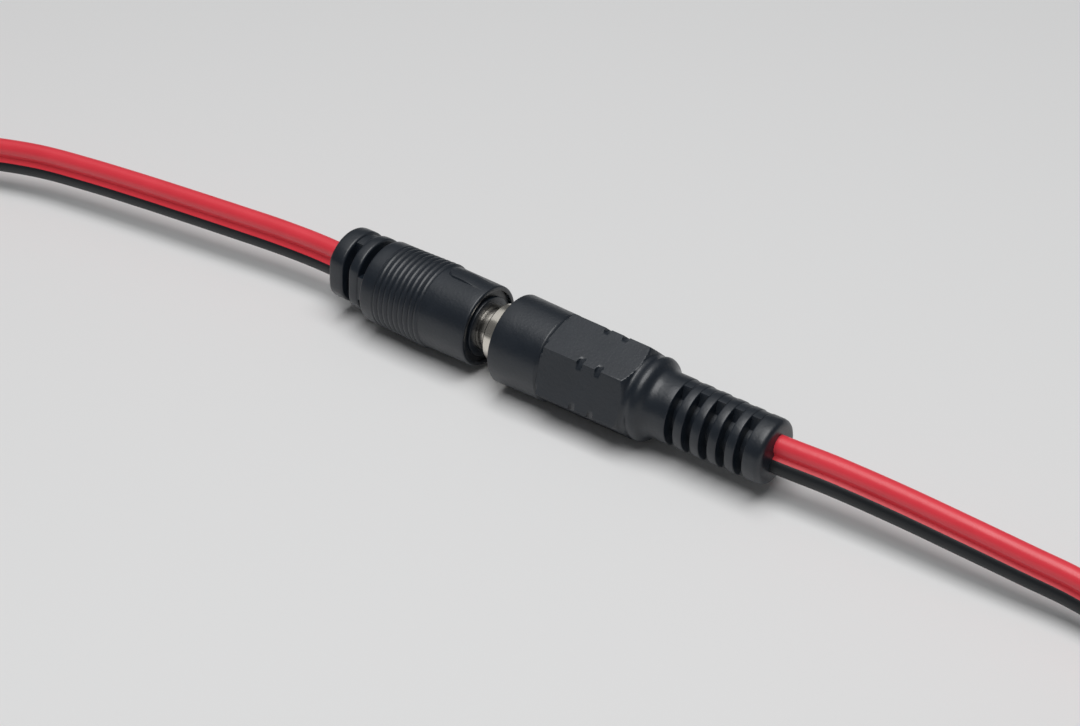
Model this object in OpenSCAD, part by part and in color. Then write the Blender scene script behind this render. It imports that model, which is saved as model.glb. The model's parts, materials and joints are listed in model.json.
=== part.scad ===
// DC power pigtail: a moulded plug lead mated with a moulded socket lead.
// Millimetres, +Z up. The connectors lie along X with the plug on the -X side,
// and the origin is on the floor below the middle of the mated pair.

/* [Socket body] */
// Radius of the round nose
nose_r = 5.5; // [5.3:0.1:5.7]
// Length of the round nose
nose_len = 6.8; // [6:0.1:8]
// Length of the six-sided grip
grip_len = 11.5; // [10:0.1:13]
// Corner radius of the six-sided grip
grip_corner_r = 5.9; // [5.7:0.05:6.1]
// Radius of the slotted tail
tail_r = 4; // [3.9:0.1:4.4]
// Number of slots in the tail
slot_count = 5; // [3:1:7]
// Distance from slot to slot
slot_pitch = 2.25; // [2:0.05:2.6]
// Width of one slot
slot_w = 1.1; // [0.8:0.1:1.3]

/* [Plug body] */
// Radius of the moulded plug body
plug_r = 5.4; // [5.2:0.1:5.6]
// Length of the body in front of its slots
plug_body_len = 15.3; // [15:0.1:18]
// Number of fine grip rings
ring_count = 9; // [6:1:9]
// Distance from ring to ring
ring_pitch = 0.8; // [0.7:0.05:0.85]
// Depth of the grooves between the rings
ring_depth = 0.2; // [0.1:0.01:0.25]
// Corner radius of the six-sided collar
collar_corner_r = 5.5; // [5.2:0.1:5.6]

/* [Contacts] */
// Outer radius of the plug sleeve
barrel_r = 2.75; // [2.7:0.01:2.8]
// Length of the plug sleeve in front of its collar
barrel_len = 11.1; // [10.5:0.1:13]
// Radius of the socket pin
pin_r = 1; // [0.95:0.01:1.05]
// Radial running clearance between plug and socket
run_fit = 0.06; // [0.03:0.01:0.09]
// Wall of the plug sleeve
barrel_wall = 0.4; // [0.3:0.05:0.5]
// Wall of the socket sleeve
sleeve_wall = 0.79; // [0.7:0.01:0.85]
// Length of sleeve that stands out of the mouth
lip_len = 2.3; // [1.6:0.1:2.5]

/* [Lead] */
// Diameter of one insulated core
core_d = 2.25; // [2.1:0.05:2.4]
// Diameter of the bare conductor
wire_d = 1; // [0.8:0.05:1.1]
// Bare length at the split end
bare_len = 6; // [5:0.5:8]

/* [Pose] */
// Gap between the plug face and the socket mouth
gap = 4; // [3:0.1:5]
// Turn of the plug about its axis
plug_lean = 10; // [0:1:20]
// Turn of the socket about its axis
jack_lean = 16; // [0:1:20]

/* [Hidden] */
fn_big = 48;
fn_small = 24;
eps = 0.01;
// clearance of a moulded-in piece
seat = 0.02;
core_r = core_d / 2;
wire_r = wire_d / 2;

// stations of the socket body, from its mouth
grip_end = nose_len + grip_len;
neck_len = 5.45;
slot_x0 = grip_end + neck_len;
end_ring = 2.2;
tail_end = slot_x0 + (slot_count - 1) * slot_pitch + slot_w + end_ring;
tail_core_r = 2.6;
jack_web = 2.5;
grip_flat = grip_corner_r * cos(30);
spigot_r = grip_flat - 0.15;
nick_w = 0.9;
nick_r = grip_corner_r - 0.35;
nick_pitch = 2.5;
nick_x = grip_end - 6.5;

// stations of the plug body, from its face
recess_d = 0.5;
// plain band between the face and the rings
band_r = plug_r - 0.22;
ring_x0 = -6.4;
key_front = -1.2;
key_rear = -6.1;
key_half = 1.1;
key_h = 0.2;
slot_b_end = -plug_body_len - 1.05;
ring_b_end = slot_b_end - 1.8;
slot_a_end = ring_b_end - 0.95;
plug_end = slot_a_end - 2.3;
collar_flat = collar_corner_r * cos(30);
plug_web = 3.2;
side_web = 2.6;

// plug contacts, from the plug face
collar_r = barrel_r + 0.95;
collar_x = recess_d + 1.6;
recess_r = collar_r + 0.8;
barrel_back = -6;
barrel_tip = barrel_len - recess_d;
barrel_bore = barrel_r - barrel_wall;
insulator_wall = 0.86;
tip_r = barrel_bore - insulator_wall;
plug_strip = -11.5;

// socket contacts, from the mouth
floor_x = barrel_tip - gap + 0.4;
socket_bore = barrel_r + run_fit;
sleeve_r = socket_bore + sleeve_wall;
sleeve_end = floor_x + 2.6;
insulator_end = floor_x + 4;
jack_strip = floor_x + 9.5;
tail_pin_r = core_r - wire_r - 0.12;
lug_top = core_r + wire_r + 0.03;
lug_half = 0.6;

// frame: the pair is centred on the origin and rests on the floor
shift = -(tail_end + plug_end - gap) / 2;
axis_h = max(nose_r, grip_corner_r * cos(jack_lean), plug_r, collar_corner_r * cos(plug_lean));
jack_exit = tail_end + shift;
plug_exit = plug_end - gap + shift;

// lead put away: a folded hank at each end, held off the floor by its tie
tie_t = 0.6;
tie_w = 4;
fold_r = 9;
hank_h = 2 * core_d;
hank_mid = tie_t + core_d;
plug_run = 34;
jack_run = 46;
split_len = 12;
// clearance between the lead's stretches
join_gap = 0.05;

// routes from each exit: distance out, offset in Y, share of the way down to the hank
plug_route = [
    [0, 0, 0], [6, 0, 0], [12, -0.4, 0], [18, -1.1, 0], [26, -2.1, 0], [34, -3.1, 0.02], [42, -4.2, 0.06],
    [50, -5.6, 0.12], [57, -7.7, 0.22], [64, -10.2, 0.42], [71, -12.3, 0.68], [78, -13.6, 0.9], [85, -14, 1],
    [94, -14, 1]
];
jack_route = [
    [0, 0, 0], [7, 0.4, 0], [15, 0.6, 0.06], [23, 0.6, 0.15], [30, 0.7, 0.28], [35.5, 0.8, 0.4],
    [41, 0.2, 0.58], [46, -1.5, 0.8], [51, -3.6, 0.95], [56, -5, 1], [60, -5, 1]
];
// split ends: distance on, spread in Y, share of the way down to the floor
split_route = [
    [join_gap, 0, 0], [1.5, 0, 0], [4, 0.9, 0.05], [6.5, 2.1, 0.5], [9, 2.9, 0.95], [10.5, 3, 1],
    [split_len, 3, 1]
];

plug_hank_x = plug_exit - plug_route[len(plug_route) - 1][0] - join_gap;
plug_hank_y = plug_route[len(plug_route) - 1][1];
jack_hank_x = jack_exit + jack_route[len(jack_route) - 1][0] + join_gap;
jack_hank_y = jack_route[len(jack_route) - 1][1];

// helpers: solids along X

// Puts a socket piece, drawn from the mouth along X, in the part's frame.
module at_jack() {
    translate([shift, 0, axis_h])
        rotate([-jack_lean, 0, 0])
            children();
}

// Puts a plug piece, drawn from the plug face along X, in the part's frame.
module at_plug() {
    translate([shift - gap, 0, axis_h])
        rotate([-plug_lean, 0, 0])
            children();
}

// Round bar from x0 to x1.
module rod(x0, x1, r, z = 0, fn = fn_big) {
    translate([x0, 0, z])
        rotate([0, 90, 0])
            cylinder(h = x1 - x0, r = r, $fn = fn);
}

// Six-sided bar from x0 to x1, with corners above and below.
module hex_bar(x0, x1, r) {
    rod(x0, x1, r, 0, 6);
}

// Block between two corners.
module block(x0, x1, y0, y1, z0, z1) {
    translate([x0, y0, z0])
        cube([x1 - x0, y1 - y0, z1 - z0]);
}

// Turned solid about X from [radius, x] points.
module lathe(points, fn = fn_big) {
    rotate([0, 90, 0])
        rotate_extrude($fn = fn)
            polygon(points);
}

// Ring-shaped cut from radius r outwards.
module ring_cut(x0, x1, r) {
    difference() {
        rod(x0, x1, 8);
        rod(x0 - 1, x1 + 1, r);
    }
}

// helpers: swept leads

function unit(v) = v / norm(v);

// Direction of a path at point i.
function heading(p, i) = unit(p[min(i + 1, len(p) - 1)] - p[max(i - 1, 0)]);

// Direction from the black core to the red core, square to the path.
function stack_dir(t, a) = unit([0, sin(a), cos(a)] - t * (t * [0, sin(a), cos(a)]));

// Eight points round a path point.
function ring_points(c, t, up, r) = [
    for (k = [0:7])
        c + r * cos(22.5 + 45 * k) * cross(up, t) + r * sin(22.5 + 45 * k) * up
];

// Closed tube with eight sides along a path, whose cross-section turns with the angles.
module tube(path, angles, side, r) {
    n = len(path);
    rings = [
        for (i = [0:n - 1])
            let (t = heading(path, i), up = stack_dir(t, angles[i]))
                ring_points(path[i] + side * up, t, up, r)
    ];
    points = [for (g = rings) for (p = g) p];
    walls = [
        for (i = [0:n - 2])
            for (k = [0:7])
                for (f = [
                    [i * 8 + k, i * 8 + 8 + k, i * 8 + 8 + (k + 1) % 8],
                    [i * 8 + k, i * 8 + 8 + (k + 1) % 8, i * 8 + (k + 1) % 8]
                ]) f
    ];
    first = [for (k = [0:7]) k];
    last = [for (k = [7:-1:0]) (n - 1) * 8 + k];
    polyhedron(points = points, faces = concat([first], walls, [last]), convexity = 6);
}

// Height and turn at a share of the way down.
function drop_z(s) = axis_h + (hank_mid - axis_h) * s;
function drop_turn(s, lean) = lean * (1 - s);

// Path of a lead: out of the moulding at x, along its route; way is 1 towards +X.
function lead_path(x, way, inner, route) = concat(
    [[x - way * inner, 0, axis_h]],
    [for (p = route) [x + way * p[0], p[1], drop_z(p[2])]]
);
function lead_turn(route, lean) = concat([lean], [for (p = route) drop_turn(p[2], lean)]);

// Path of one split core; way is 1 towards +X, spread is 1 or -1.
function split_path(x, y, way, spread, z) = [
    for (p = split_route) [x + way * p[0], y + spread * p[1], z + (core_r + 0.05 - z) * p[2]]
];

// plug half

module plug_overmould() {
    color("#2b2d30")
        at_plug()
            difference() {
                union() {
                    lathe(concat(
                        [[0, 0], [band_r - 0.4, 0], [band_r - 0.2, -0.06], [band_r - 0.06, -0.2]],
                        [[band_r, -0.4], [band_r, ring_x0 + 0.1]],
                        [
                            for (i = [0:ring_count - 1])
                                for (q = [[ring_depth, 0.3], [ring_depth, 0.55], [0, 0.85], [0, 1]])
                                    [plug_r - 0.02 * i - q[0], ring_x0 - ring_pitch * (i + q[1])]
                        ],
                        [[plug_r - 0.2, -plug_body_len], [0, -plug_body_len]]
                    ));
                    // key along the top, round at its rear and running out towards the face
                    intersection() {
                        translate([0, 0, barrel_r])
                            linear_extrude(height = plug_r)
                                union() {
                                    translate([key_rear + key_half, -key_half])
                                        square([key_front - key_rear - key_half, 2 * key_half]);
                                    translate([key_rear + key_half, 0])
                                        circle(r = key_half, $fn = fn_big);
                                }
                        lathe([
                            [0, key_rear - 1], [band_r + key_h, key_rear - 1],
                            [band_r + key_h, key_front - 2], [band_r - 0.03, key_front], [0, key_front]
                        ]);
                    }
                    // core that ties the body to its collar
                    rod(plug_end + 0.5, 1 - plug_body_len, collar_flat - 0.2);
                    // six-sided collar behind the body
                    intersection() {
                        hex_bar(plug_end, -plug_body_len, collar_corner_r);
                        lathe([
                            [0, plug_end], [collar_corner_r - 0.85, plug_end],
                            [collar_corner_r - 0.55, plug_end + 0.2], [collar_corner_r - 0.4, plug_end + 0.6],
                            [collar_corner_r - 0.4, -plug_body_len],
                            [0, -plug_body_len]
                        ]);
                    }
                }
                // slot next to the body, open above and below
                difference() {
                    ring_cut(slot_b_end, -plug_body_len, tail_core_r);
                    block(slot_b_end - 1, 1 - plug_body_len, -8, 8, -side_web / 2, side_web / 2);
                }
                // slot next to the collar, open at both sides
                difference() {
                    ring_cut(slot_a_end, ring_b_end, tail_core_r);
                    block(slot_a_end - 1, ring_b_end + 1, -plug_web / 2, plug_web / 2, -8, 8);
                }
                // recess in the face, and the seats of the contacts
                rod(-recess_d, 1, recess_r);
                rod(-collar_x - seat, 0, collar_r + seat);
                rod(barrel_back - 1, 0, barrel_r + seat);
                rod(plug_strip, barrel_back, collar_r);
                // seats of the two cores
                rod(plug_end - 1, plug_strip + 0.1, core_r + 0.03, core_r, fn_small);
                rod(plug_end - 1, plug_strip + 0.1, core_r + 0.03, -core_r, fn_small);
            }
}

module plug_barrel() {
    color("#c9c6bd")
        at_plug()
            union() {
                difference() {
                    lathe([
                        [0, barrel_back], [barrel_r, barrel_back], [barrel_r, -collar_x],
                        [collar_r, -collar_x], [collar_r, -recess_d], [barrel_r, -recess_d],
                        [barrel_r, barrel_tip - 0.3],
                        [barrel_r - 0.2, barrel_tip], [0, barrel_tip]
                    ]);
                    rod(barrel_back - 1, barrel_tip + 1, barrel_bore);
                }
                block(-10, barrel_back + 0.4, -lug_half, lug_half, -barrel_r + 0.1, -lug_top);
            }
}

module plug_insulator() {
    color("#1c1d1f")
        at_plug()
            difference() {
                rod(barrel_back + 0.6, barrel_tip - 0.15, barrel_bore - eps);
                rod(barrel_back, barrel_tip, tip_r + eps, 0, fn_small);
            }
}

module plug_tip_tube() {
    color("#c9c6bd")
        at_plug()
            difference() {
                lathe([
                    [0, -9.6], [tail_pin_r, -9.6], [tail_pin_r, barrel_back + 0.6],
                    [tip_r, barrel_back + 0.6],
                    [tip_r, barrel_tip - 0.4], [0, barrel_tip - 0.4]
                ], fn_small);
                rod(1, barrel_tip, pin_r + run_fit, 0, fn_small);
            }
}

module plug_inner_mould() {
    color("#8a8c8e")
        at_plug()
            difference() {
                rod(plug_strip + 0.05, barrel_back - 0.05, collar_r - seat);
                block(plug_strip - 1, barrel_back + 1, -1.35, 1.35, -5, 2.05);
            }
}

module plug_solder_red() {
    color("#b9bcc0")
        at_plug()
            difference() {
                rod(-9.4, -7.6, 1.1, core_d / 3, fn_small);
                rod(plug_strip, barrel_back, tail_pin_r + eps, 0, fn_small);
                rod(plug_strip, barrel_back, wire_r + eps, core_r, fn_small);
            }
}

module plug_solder_black() {
    color("#b9bcc0")
        at_plug()
            difference() {
                rod(-9.8, -7.6, 0.9, -core_r - 0.28, fn_small);
                block(plug_strip, barrel_back, -lug_half - eps, lug_half + eps, -5, eps - lug_top);
                rod(plug_strip, barrel_back, wire_r + eps, -core_r, fn_small);
            }
}

module plug_wire_red() {
    color("#b5713c")
        at_plug()
            rod(plug_strip, -7.4, wire_r, core_r, fn_small);
}

module plug_wire_black() {
    color("#b5713c")
        at_plug()
            rod(plug_strip, -7.4, wire_r, -core_r, fn_small);
}

module plug_lead_red() {
    color("#c8202c")
        tube(lead_path(plug_exit, -1, plug_strip - plug_end, plug_route),
            lead_turn(plug_route, plug_lean), core_r, core_r);
}

module plug_lead_black() {
    color("#1b1d20")
        tube(lead_path(plug_exit, -1, plug_strip - plug_end, plug_route),
            lead_turn(plug_route, plug_lean), -core_r, core_r);
}

// Hank: two runs and one fold, as one solid of its outer shape.
module hank(x, y, way, run) {
    translate([x, y + fold_r, tie_t])
        linear_extrude(height = hank_h)
            union() {
                translate([way > 0 ? 0 : -run, -fold_r - core_r])
                    square([run, 2 * (fold_r + core_r)]);
                translate([way * run, 0])
                    circle(r = fold_r + core_r, $fn = fn_big);
            }
}

// Band round the two runs of a hank.
module tie(x, y, way, run) {
    half = fold_r + core_r;
    middle = x + way * run / 2;
    difference() {
        block(middle - tie_w / 2, middle + tie_w / 2, y + fold_r - half - tie_t, y + fold_r + half + tie_t,
            0, hank_h + 2 * tie_t);
        block(middle - tie_w, middle + tie_w, y + fold_r - half, y + fold_r + half, tie_t, hank_h + tie_t);
    }
}

// Turns of a split core, which lies flat on its end.
function split_turns() = [for (p = split_route) 0];

module plug_hank() {
    color("#7d1a22")
        hank(plug_hank_x, plug_hank_y, -1, plug_run);
}

module plug_tie() {
    color("#202225")
        tie(plug_hank_x, plug_hank_y, -1, plug_run);
}

module plug_tail_red() {
    color("#c8202c")
        tube(split_path(plug_hank_x, plug_hank_y + 2 * fold_r, 1, 1, hank_mid + core_r),
            split_turns(), 0, core_r);
}

module plug_tail_black() {
    color("#1b1d20")
        tube(split_path(plug_hank_x, plug_hank_y + 2 * fold_r, 1, -1, hank_mid - core_r),
            split_turns(), 0, core_r);
}

// Tinned end of a split core.
module bare_end(x, y, way) {
    translate([way > 0 ? x : x - bare_len, y, core_r + 0.05])
        rotate([0, 90, 0])
            cylinder(h = bare_len, r = wire_r, $fn = fn_small);
}

module plug_end_red() {
    color("#c3c6c8")
        bare_end(plug_hank_x + split_len, plug_hank_y + 2 * fold_r + 3, 1);
}

module plug_end_black() {
    color("#c3c6c8")
        bare_end(plug_hank_x + split_len, plug_hank_y + 2 * fold_r - 3, 1);
}

// socket half

module jack_overmould() {
    color("#2b2d30")
        at_jack()
            difference() {
                union() {
                    // round nose
                    lathe([
                        [0, 0], [nose_r - 0.4, 0], [nose_r - 0.12, 0.12], [nose_r, 0.4], [nose_r, nose_len],
                        [spigot_r, nose_len], [spigot_r, nose_len + 1], [0, nose_len + 1]
                    ]);
                    // six-sided grip with nicked corners
                    difference() {
                        intersection() {
                            hex_bar(nose_len, grip_end, grip_corner_r);
                            lathe([
                                [0, nose_len], [grip_corner_r + 0.05, nose_len],
                                [grip_corner_r + 0.05, grip_end - 0.4],
                                [grip_corner_r - 0.35, grip_end], [0, grip_end]
                            ]);
                        }
                        ring_cut(nick_x, nick_x + nick_w, nick_r);
                        ring_cut(nick_x + nick_pitch, nick_x + nick_pitch + nick_w, nick_r);
                    }
                    // ring groove, rounded shoulder and tail
                    lathe([
                        [0, grip_end - 1], [spigot_r, grip_end - 1], [spigot_r, grip_end + 0.85],
                        [grip_flat - 0.1, grip_end + 0.95], [grip_flat + 0.06, grip_end + 1.2],
                        [grip_flat + 0.06, grip_end + 1.6], [grip_flat - 0.07, grip_end + 2.05],
                        [grip_flat - 0.3, grip_end + 2.4], [tail_r + 0.2, grip_end + 2.75],
                        [tail_r, grip_end + 3.2], [tail_r - 0.1, tail_end - 0.6],
                        [tail_r - 0.28, tail_end - 0.18], [tail_r - 0.7, tail_end], [0, tail_end]
                    ]);
                }
                // slots at both sides of the tail
                for (i = [0:slot_count - 1])
                    difference() {
                        ring_cut(slot_x0 + i * slot_pitch, slot_x0 + i * slot_pitch + slot_w, tail_core_r);
                        block(slot_x0, tail_end, -jack_web / 2, jack_web / 2, -8, 8);
                    }
                // seats of the socket, the soldered tails and the two cores
                rod(-1, insulator_end, sleeve_r + seat);
                rod(insulator_end - 0.1, jack_strip, sleeve_r + seat);
                rod(jack_strip - 0.1, tail_end + 1, core_r + 0.03, core_r, fn_small);
                rod(jack_strip - 0.1, tail_end + 1, core_r + 0.03, -core_r, fn_small);
            }
}

module jack_sleeve() {
    color("#cfcabd")
        at_jack()
            union() {
                difference() {
                    lathe([
                        [0, -lip_len], [sleeve_r - 0.15, -lip_len], [sleeve_r, 0.15 - lip_len],
                        [sleeve_r, sleeve_end], [0, sleeve_end]
                    ]);
                    rod(-lip_len - 1, sleeve_end + 1, socket_bore);
                    // lead-in at the mouth
                    lathe([
                        [0, -lip_len - eps], [socket_bore + 0.3, -lip_len - eps],
                        [0, socket_bore + 0.3 - lip_len]
                    ]);
                    // slot for the spring leaf
                    block(1.2, 6.6, -0.9, 0.9, 1, 5);
                }
                block(sleeve_end - 0.4, floor_x + 8, -lug_half, lug_half, -sleeve_r + 0.1, -lug_top);
            }
}

module jack_leaf() {
    color("#c08a4a")
        at_jack()
            translate([0, 0.7, 0])
                rotate([90, 0, 0])
                    linear_extrude(height = 1.4)
                        polygon([
                            [1.4, barrel_r + 0.42], [2.6, barrel_r + 0.1], [3.6, barrel_r + 0.05],
                            [4.8, barrel_r + 0.16], [6.6, barrel_r + 0.45], [6.6, barrel_r + 0.65],
                            [4.8, barrel_r + 0.36], [3.6, barrel_r + 0.25], [2.6, barrel_r + 0.3],
                            [1.4, barrel_r + 0.62]
                        ]);
}

module jack_insulator() {
    color("#1c1d1f")
        at_jack()
            difference() {
                union() {
                    rod(floor_x, sleeve_end + eps, socket_bore - eps);
                    rod(sleeve_end, insulator_end, sleeve_r);
                }
                rod(floor_x - 1, insulator_end + 1, pin_r + eps, 0, fn_small);
                block(sleeve_end - 0.45, insulator_end + 1, -lug_half - 0.05, lug_half + 0.05,
                    -5, 0.05 - lug_top);
            }
}

module jack_pin() {
    color("#cfcabd")
        at_jack()
            lathe([
                [0, 0.8], [pin_r - 0.5, 0.8], [pin_r - 0.15, 1], [pin_r, 1.4], [pin_r, insulator_end],
                [tail_pin_r, insulator_end], [tail_pin_r, floor_x + 7.6], [0, floor_x + 7.6]
            ], fn_small);
}

module jack_inner_mould() {
    color("#8a8c8e")
        at_jack()
            difference() {
                rod(insulator_end + 0.05, jack_strip - 0.05, sleeve_r - seat);
                block(insulator_end - 1, jack_strip + 1, -1.35, 1.35, -5, 2.05);
            }
}

module jack_solder_red() {
    color("#b9bcc0")
        at_jack()
            difference() {
                rod(floor_x + 5.4, floor_x + 7.4, 1.1, core_d / 3, fn_small);
                rod(floor_x, jack_strip, tail_pin_r + eps, 0, fn_small);
                rod(floor_x, jack_strip, wire_r + eps, core_r, fn_small);
            }
}

module jack_solder_black() {
    color("#b9bcc0")
        at_jack()
            difference() {
                rod(floor_x + 5.4, floor_x + 7.8, 0.9, -core_r - 0.28, fn_small);
                block(floor_x, jack_strip, -lug_half - eps, lug_half + eps, -5, eps - lug_top);
                rod(floor_x, jack_strip, wire_r + eps, -core_r, fn_small);
            }
}

module jack_wire_red() {
    color("#b5713c")
        at_jack()
            rod(floor_x + 5.2, jack_strip, wire_r, core_r, fn_small);
}

module jack_wire_black() {
    color("#b5713c")
        at_jack()
            rod(floor_x + 5.2, jack_strip, wire_r, -core_r, fn_small);
}

module jack_lead_red() {
    color("#c8202c")
        tube(lead_path(jack_exit, 1, tail_end - jack_strip, jack_route),
            lead_turn(jack_route, jack_lean), core_r, core_r);
}

module jack_lead_black() {
    color("#1b1d20")
        tube(lead_path(jack_exit, 1, tail_end - jack_strip, jack_route),
            lead_turn(jack_route, jack_lean), -core_r, core_r);
}

module jack_hank() {
    color("#7d1a22")
        hank(jack_hank_x, jack_hank_y, 1, jack_run);
}

module jack_tie() {
    color("#202225")
        tie(jack_hank_x, jack_hank_y, 1, jack_run);
}

module jack_tail_red() {
    color("#c8202c")
        tube(split_path(jack_hank_x, jack_hank_y + 2 * fold_r, -1, 1, hank_mid + core_r),
            split_turns(), 0, core_r);
}

module jack_tail_black() {
    color("#1b1d20")
        tube(split_path(jack_hank_x, jack_hank_y + 2 * fold_r, -1, -1, hank_mid - core_r),
            split_turns(), 0, core_r);
}

module jack_end_red() {
    color("#c3c6c8")
        bare_end(jack_hank_x - split_len, jack_hank_y + 2 * fold_r + 3, -1);
}

module jack_end_black() {
    color("#c3c6c8")
        bare_end(jack_hank_x - split_len, jack_hank_y + 2 * fold_r - 3, -1);
}

plug_overmould();
plug_barrel();
plug_insulator();
plug_tip_tube();
plug_inner_mould();
plug_solder_red();
plug_solder_black();
plug_wire_red();
plug_wire_black();
plug_lead_red();
plug_lead_black();
plug_hank();
plug_tie();
plug_tail_red();
plug_tail_black();
plug_end_red();
plug_end_black();
jack_overmould();
jack_sleeve();
jack_leaf();
jack_insulator();
jack_pin();
jack_inner_mould();
jack_solder_red();
jack_solder_black();
jack_wire_red();
jack_wire_black();
jack_lead_red();
jack_lead_black();
jack_hank();
jack_tie();
jack_tail_red();
jack_tail_black();
jack_end_red();
jack_end_black();
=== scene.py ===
"""Looks of a DC power pigtail: a moulded plug lead pushed into a moulded socket lead."""

import json
import logging
import math
from dataclasses import dataclass
from enum import Enum
from typing import Callable, Iterable, Sequence

import bmesh
import bpy
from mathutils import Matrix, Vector


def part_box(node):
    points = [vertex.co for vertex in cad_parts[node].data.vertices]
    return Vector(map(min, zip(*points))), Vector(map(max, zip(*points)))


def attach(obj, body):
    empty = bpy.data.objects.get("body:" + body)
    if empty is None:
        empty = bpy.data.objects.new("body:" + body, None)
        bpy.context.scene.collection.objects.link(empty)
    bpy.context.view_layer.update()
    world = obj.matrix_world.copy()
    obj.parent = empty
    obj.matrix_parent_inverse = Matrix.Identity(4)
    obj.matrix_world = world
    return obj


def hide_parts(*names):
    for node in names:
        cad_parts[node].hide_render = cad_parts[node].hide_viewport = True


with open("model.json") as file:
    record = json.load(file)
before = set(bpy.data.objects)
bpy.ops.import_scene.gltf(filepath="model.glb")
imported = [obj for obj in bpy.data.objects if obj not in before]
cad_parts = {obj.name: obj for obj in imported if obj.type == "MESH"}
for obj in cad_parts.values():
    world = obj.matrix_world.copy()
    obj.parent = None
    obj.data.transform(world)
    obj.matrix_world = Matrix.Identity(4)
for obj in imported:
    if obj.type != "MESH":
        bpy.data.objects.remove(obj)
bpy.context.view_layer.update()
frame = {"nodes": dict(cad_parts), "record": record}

LOG = logging.getLogger("pigtail")
MM = 0.001
HEX_FLAT = math.cos(math.pi / 6)
CRISP_DEG = 35.0
ROUNDED_DEG = 50.0

Color = tuple[float, float, float]
Section = Callable[[float], float]
Station = tuple[float, Section]
Profile = Sequence[tuple[float, float]]
Route = Sequence[tuple[float, float, float]]


class Slot(str, Enum):
    """Material slots of the record."""

    BLACK_MOULD = "black_mould"
    NICKEL = "nickel"
    INSULATOR = "insulator"
    INNER_MOULD = "inner_mould"
    SOLDER = "solder"
    COPPER = "copper"
    SPRING_BRONZE = "spring_bronze"
    RED_PVC = "red_pvc"
    BLACK_PVC = "black_pvc"
    TIE_BLACK = "tie_black"
    TINNED = "tinned"


class Half(str, Enum):
    """The two bodies that pull apart."""

    PLUG = "plug_lead"
    SOCKET = "socket_lead"


# Shader node groups


def surface_group(name: str, inputs: dict[str, float], outputs: Sequence[str]) -> bpy.types.NodeTree:
    """Make an empty shader node group with float sockets.

    Args:
        name: Name of the group.
        inputs: Input names and their default values.
        outputs: Output names.

    Returns:
        The group, with its input and output nodes named "in" and "out".
    """
    group = bpy.data.node_groups.new(name, "ShaderNodeTree")
    for socket, value in inputs.items():
        made = group.interface.new_socket(name=socket, in_out="INPUT", socket_type="NodeSocketFloat")
        made.default_value = value
    for socket in outputs:
        group.interface.new_socket(name=socket, in_out="OUTPUT", socket_type="NodeSocketFloat")
    group.nodes.new("NodeGroupInput").name = "in"
    group.nodes.new("NodeGroupOutput").name = "out"
    return group


def math_node(tree: bpy.types.NodeTree, operation: str, a: object, b: object) -> bpy.types.NodeSocket:
    """Add a Math node fed by sockets or plain numbers.

    Args:
        tree: Tree that gets the node.
        operation: Blender's name of the operation.
        a: First operand, a socket or a number.
        b: Second operand, a socket or a number.

    Returns:
        The node's output socket.
    """
    node = tree.nodes.new("ShaderNodeMath")
    node.operation = operation
    for index, value in enumerate((a, b)):
        if isinstance(value, bpy.types.NodeSocket):
            tree.links.new(value, node.inputs[index])
        else:
            node.inputs[index].default_value = value
    return node.outputs[0]


def noise_node(
    tree: bpy.types.NodeTree, vector: bpy.types.NodeSocket, scale: bpy.types.NodeSocket, detail: float,
) -> bpy.types.NodeSocket:
    """Add a Noise Texture in object space.

    Args:
        tree: Tree that gets the node.
        vector: Coordinates to read the noise at.
        scale: Noise scale per metre.
        detail: Octaves of detail.

    Returns:
        The noise factor.
    """
    node = tree.nodes.new("ShaderNodeTexNoise")
    node.inputs["Detail"].default_value = detail
    tree.links.new(vector, node.inputs["Vector"])
    tree.links.new(scale, node.inputs["Scale"])
    return node.outputs["Fac"]


def make_grain_group() -> bpy.types.NodeTree:
    """Build the moulded grain: a fine height and a slow change of gloss.

    Returns:
        Group with inputs Scale, Base Roughness and Roughness Spread, and outputs Height and Roughness.
    """
    group = surface_group(
        "moulded_grain",
        {"Scale": 3000.0, "Base Roughness": 0.45, "Roughness Spread": 0.15},
        ("Height", "Roughness"),
    )
    fine_share, coarse_share, coarse_scale, middle = 0.7, 0.3, 0.16, 0.5
    given, out = group.nodes["in"].outputs, group.nodes["out"].inputs
    place = group.nodes.new("ShaderNodeTexCoord").outputs["Object"]
    fine = noise_node(group, place, given["Scale"], 3.0)
    coarse = noise_node(group, place, math_node(group, "MULTIPLY", given["Scale"], coarse_scale), 2.0)
    fine_height = math_node(group, "MULTIPLY", fine, fine_share)
    coarse_height = math_node(group, "MULTIPLY", coarse, coarse_share)
    about_middle = math_node(group, "SUBTRACT", coarse, middle)
    change = math_node(group, "MULTIPLY", about_middle, given["Roughness Spread"])
    group.links.new(math_node(group, "ADD", fine_height, coarse_height), out["Height"])
    group.links.new(math_node(group, "ADD", given["Base Roughness"], change), out["Roughness"])
    return group


def make_tint_group() -> bpy.types.NodeTree:
    """Build the slow cloudy change of tint that handled plastic shows.

    Returns:
        Group with input Scale and output Mask, about 0 to 1.
    """
    group = surface_group("handled_tint", {"Scale": 220.0}, ("Mask",))
    contrast, middle = 1.6, 0.5
    place = group.nodes.new("ShaderNodeTexCoord").outputs["Object"]
    cloud = noise_node(group, place, group.nodes["in"].outputs["Scale"], 4.0)
    spread = math_node(group, "MULTIPLY", math_node(group, "SUBTRACT", cloud, middle), contrast)
    group.links.new(math_node(group, "ADD", spread, middle), group.nodes["out"].inputs["Mask"])
    return group


# Finishes


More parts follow.
